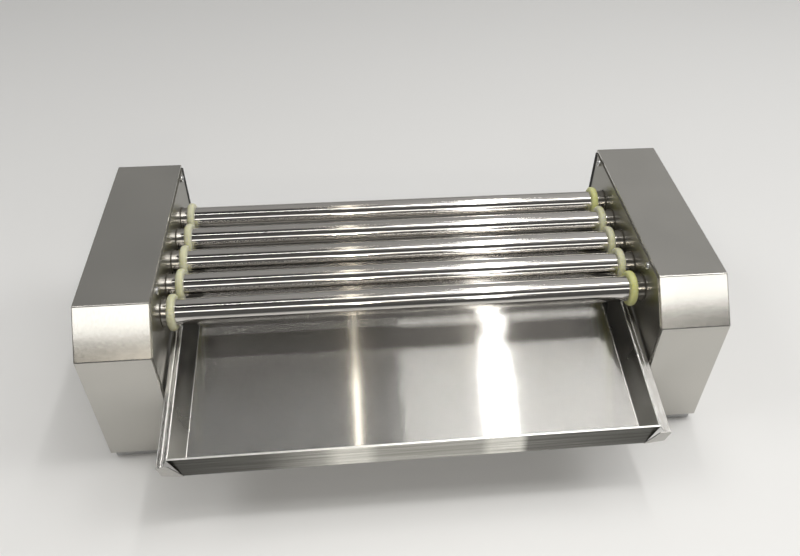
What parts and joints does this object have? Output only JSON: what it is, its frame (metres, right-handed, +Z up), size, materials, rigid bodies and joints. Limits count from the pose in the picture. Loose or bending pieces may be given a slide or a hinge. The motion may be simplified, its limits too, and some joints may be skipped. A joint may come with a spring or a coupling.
{
  "type": "hot dog roller grill",
  "caption": "Countertop hot dog roller grill: chain-driven heated steel rollers with seal rings between two sheet steel end housings, over a pull-out drip tray.",
  "frame": {"origin": "bottom centre of the whole part's box, on the surface that the feet stand on", "axes": "+X to the right along the rollers, +Y to the back, +Z up; the tray pulls out towards -Y"},
  "size_m": [0.5976, 0.3302, 0.174],
  "materials": {
    "brushed_cover": "brushed, satin",
    "polished_plate": "polished",
    "polished_tube": "polished",
    "tray_steel": "bright brushed",
    "seal_silicone": "soft, slightly translucent",
    "plated_steel": "zinc plated",
    "screw_steel": "bright",
    "black_rubber": "matt",
    "slide_nylon": "natural nylon",
    "bushing_polymer": "graphite filled",
    "heater_sheath": "heat tinted",
    "insulator": "unglazed ceramic",
    "chain_steel": "oiled",
    "motor_black": "satin black",
    "gearbox_metal": "cast",
    "control_black": "fine texture",
    "rocker_red": "gloss",
    "lamp_amber": "clear amber",
    "dial_print": "satin",
    "terminal_plastic": "natural"
  },
  "bodies": {
    "chassis": {"left_cover": "brushed_cover", "right_cover": "brushed_cover", "left_side_plate": "polished_plate", "right_side_plate": "polished_plate", "left_base_plate": "plated_steel", "right_base_plate": "plated_steel", "feet": "black_rubber", "base_spacers": "plated_steel", "side_plate_screws": "screw_steel", "base_screws": "screw_steel", "foot_screws": "screw_steel", "tie_bar_screws": "screw_steel", "motor_screws": "screw_steel", "front_tie_bar": "plated_steel", "rear_tie_bar": "plated_steel", "left_roller_bushings": "bushing_polymer", "right_roller_bushings": "bushing_polymer", "heater_rods": "heater_sheath", "left_heater_bracket": "plated_steel", "right_heater_bracket": "plated_steel", "left_heater_insulators": "insulator", "right_heater_insulators": "insulator", "drive_chain": "chain_steel", "motor_gearbox": "gearbox_metal", "motor_can": "motor_black", "motor_bracket": "plated_steel", "left_tray_channel": "plated_steel", "right_tray_channel": "plated_steel", "thermostat_body": "control_black", "dial_plate": "dial_print", "switch_housing": "control_black", "lamp_body": "gearbox_metal", "lamp_lens": "lamp_amber", "cable_gland": "control_black", "gland_locknut": "control_black", "terminal_block": "terminal_plastic"},
    "roller_1": {"roller_tube_1": "polished_tube", "seal_rings_1": "seal_silicone", "roller_sprocket_1": "chain_steel"},
    "roller_2": {"roller_tube_2": "polished_tube", "seal_rings_2": "seal_silicone", "roller_sprocket_2": "chain_steel"},
    "roller_3": {"roller_tube_3": "polished_tube", "seal_rings_3": "seal_silicone", "roller_sprocket_3": "chain_steel"},
    "roller_4": {"roller_tube_4": "polished_tube", "seal_rings_4": "seal_silicone", "roller_sprocket_4": "chain_steel"},
    "roller_5": {"roller_tube_5": "polished_tube", "seal_rings_5": "seal_silicone", "roller_sprocket_5": "chain_steel"},
    "motor_output": {"motor_shaft": "screw_steel", "drive_sprocket": "chain_steel"},
    "tray_carriage": {"tray_rod": "screw_steel", "tray_glides": "slide_nylon"},
    "tray": {"drip_tray": "tray_steel", "tray_hinge_ears": "tray_steel"},
    "knob": {"thermostat_knob": "control_black", "thermostat_shaft": "screw_steel"},
    "rocker": {"power_rocker": "rocker_red"}
  },
  "joints": [
    {"name": "roller_1_spin", "type": "hinge", "parent": "chassis", "child": "roller_1", "pos_m": [-0.00875, -0.0354, 0.136], "axis": [-1, 0, 0], "continuous": true, "deforming": ["drive_chain"]},
    {"name": "roller_2_spin", "type": "hinge", "parent": "chassis", "child": "roller_2", "pos_m": [-0.00875, -0.0011, 0.136], "axis": [-1, 0, 0], "continuous": true},
    {"name": "roller_3_spin", "type": "hinge", "parent": "chassis", "child": "roller_3", "pos_m": [-0.00875, 0.0332, 0.136], "axis": [-1, 0, 0], "continuous": true},
    {"name": "roller_4_spin", "type": "hinge", "parent": "chassis", "child": "roller_4", "pos_m": [-0.00875, 0.0675, 0.136], "axis": [-1, 0, 0], "continuous": true},
    {"name": "roller_5_spin", "type": "hinge", "parent": "chassis", "child": "roller_5", "pos_m": [-0.00875, 0.1018, 0.136], "axis": [-1, 0, 0], "continuous": true},
    {"name": "motor_spin", "type": "hinge", "parent": "chassis", "child": "motor_output", "pos_m": [0.22845, 0.0332, 0.062], "axis": [-1, 0, 0], "continuous": true},
    {"name": "tray_slide", "type": "slide", "parent": "chassis", "child": "tray_carriage", "axis": [0, 1, 0], "range_m": [0, 0.072]},
    {"name": "tray_tilt", "type": "hinge", "parent": "tray_carriage", "child": "tray", "pos_m": [-0.00875, 0.02614, 0.09085], "axis": [-1, 0, 0], "range_deg": [0, 3.7]},
    {"name": "thermostat_turn", "type": "hinge", "parent": "chassis", "child": "knob", "pos_m": [0.28625, -0.0164, 0.104], "axis": [-1, 0, 0], "range_deg": [0, 270]},
    {"name": "rocker_tilt", "type": "hinge", "parent": "chassis", "child": "rocker", "pos_m": [0.28025, 0.0416, 0.104], "axis": [0, 1, 0], "range_deg": [0, 16]}
  ],
  "couplings": [
    {"joint": "roller_2_spin", "follows": "roller_1_spin", "ratio": 1},
    {"joint": "roller_3_spin", "follows": "roller_1_spin", "ratio": 1},
    {"joint": "roller_4_spin", "follows": "roller_1_spin", "ratio": 1},
    {"joint": "roller_5_spin", "follows": "roller_1_spin", "ratio": 1},
    {"joint": "motor_spin", "follows": "roller_1_spin", "ratio": 1.3333},
    {"joint": "tray_tilt", "follows": "tray_slide", "rad_per_m": 0.89206}
  ]
}
